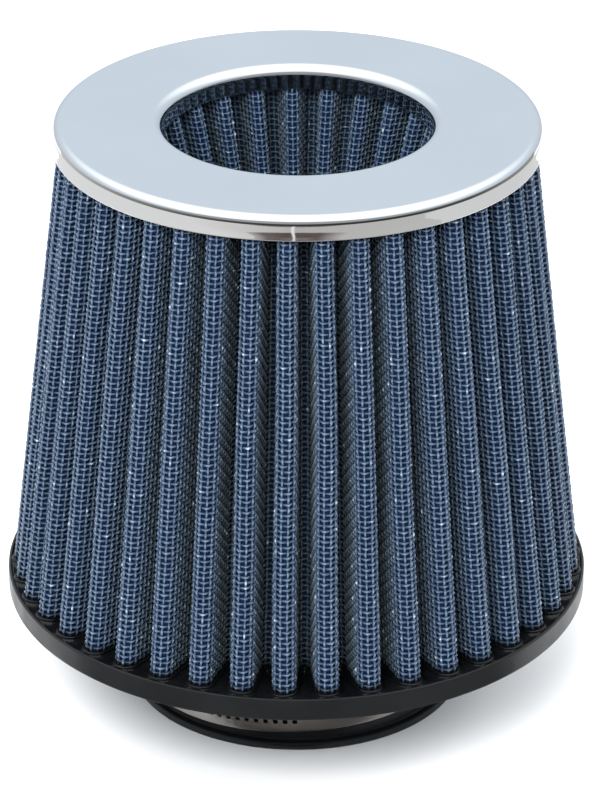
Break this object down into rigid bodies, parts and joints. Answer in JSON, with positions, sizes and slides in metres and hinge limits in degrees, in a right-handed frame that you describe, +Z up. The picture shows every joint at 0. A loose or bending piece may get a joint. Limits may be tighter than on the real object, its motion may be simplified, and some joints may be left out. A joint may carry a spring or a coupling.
{
  "type": "air filter",
  "caption": "Tapered pleated air filter with an open-funnel top, bright pressed cap, moulded base and neck, and a worm-drive hose clamp.",
  "frame": {"origin": "centre of the neck's lower face, where the inlet tube enters", "axes": "+Z up through the cap along the filter's axis; -Y faces the viewer"},
  "size_m": [0.152, 0.152, 0.159],
  "materials": {
    "cap_chrome": "mirror plated sheet",
    "potting_resin": "glossy cast polyurethane",
    "coated_wire": "pale blue-grey coated woven wire",
    "gauze": "navy filter gauze",
    "bare_wire": "bare woven wire",
    "seam_steel": "plain pressed steel",
    "base_rubber": "satin moulded rubber",
    "clamp_steel": "satin stainless steel",
    "clamp_zinc": "zinc-plated steel"
  },
  "bodies": {
    "filter": {"top_cap": "cap_chrome", "top_potting": "potting_resin", "outer_screen": "coated_wire", "outer_gauze_dirty_ply": "gauze", "outer_gauze_clean_ply": "gauze", "outer_clean_screen": "bare_wire", "outer_seam_strip": "seam_steel", "funnel_screen": "coated_wire", "funnel_gauze_dirty_ply": "gauze", "funnel_gauze_clean_ply": "gauze", "funnel_clean_screen": "bare_wire", "funnel_seam_strip": "seam_steel", "funnel_end_potting": "potting_resin", "funnel_end_cup": "seam_steel", "base_moulding": "base_rubber", "base_potting": "potting_resin"},
    "clamp": {"clamp_band": "clamp_steel", "clamp_saddle": "clamp_steel", "clamp_bridge": "clamp_steel"},
    "screw": {"clamp_screw": "clamp_zinc"}
  },
  "joints": [
    {"name": "clamp_swivel", "type": "hinge", "parent": "filter", "child": "clamp", "pos_m": [0, 0, 0.0116], "axis": [-0.0384, 0, 0.9993], "continuous": true},
    {"name": "worm_screw_turn", "type": "hinge", "parent": "clamp", "child": "screw", "pos_m": [-0.03402, 0.03405, 0.01029], "axis": [-0.7066, -0.7071, -0.0271], "continuous": true}
  ]
}
